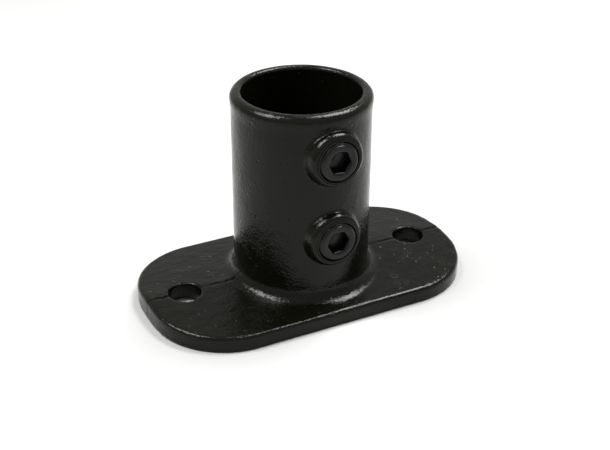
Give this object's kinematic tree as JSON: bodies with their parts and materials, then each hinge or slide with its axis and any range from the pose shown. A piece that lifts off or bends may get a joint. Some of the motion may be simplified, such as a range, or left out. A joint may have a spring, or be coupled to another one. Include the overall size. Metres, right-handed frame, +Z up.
{
  "type": "stanchion base",
  "caption": "Cast iron stanchion base: oval foot with two fixing holes and an upright round tube socket, closed on the tube by socket set screws in side bosses.",
  "frame": {"origin": "centre of the foot's underside, on the socket's axis", "axes": "+X along the foot's long side through both fixing holes, +Y across the foot and away from the set screws, +Z up the socket"},
  "size_m": [0.1442, 0.0796, 0.0911],
  "materials": {
    "coated_iron": "gloss",
    "blackened_steel": "satin"
  },
  "bodies": {
    "casting": {"base_casting": "coated_iron"},
    "lower_screw": {"lower_set_screw": "blackened_steel"},
    "upper_screw": {"upper_set_screw": "blackened_steel"}
  },
  "joints": [
    {"name": "lower_screw_travel", "type": "slide", "parent": "casting", "child": "lower_screw", "axis": [0, -1, 0], "range_m": [-0.003, 0.009]},
    {"name": "upper_screw_travel", "type": "slide", "parent": "casting", "child": "upper_screw", "axis": [0, -1, 0], "range_m": [-0.003, 0.009]}
  ]
}
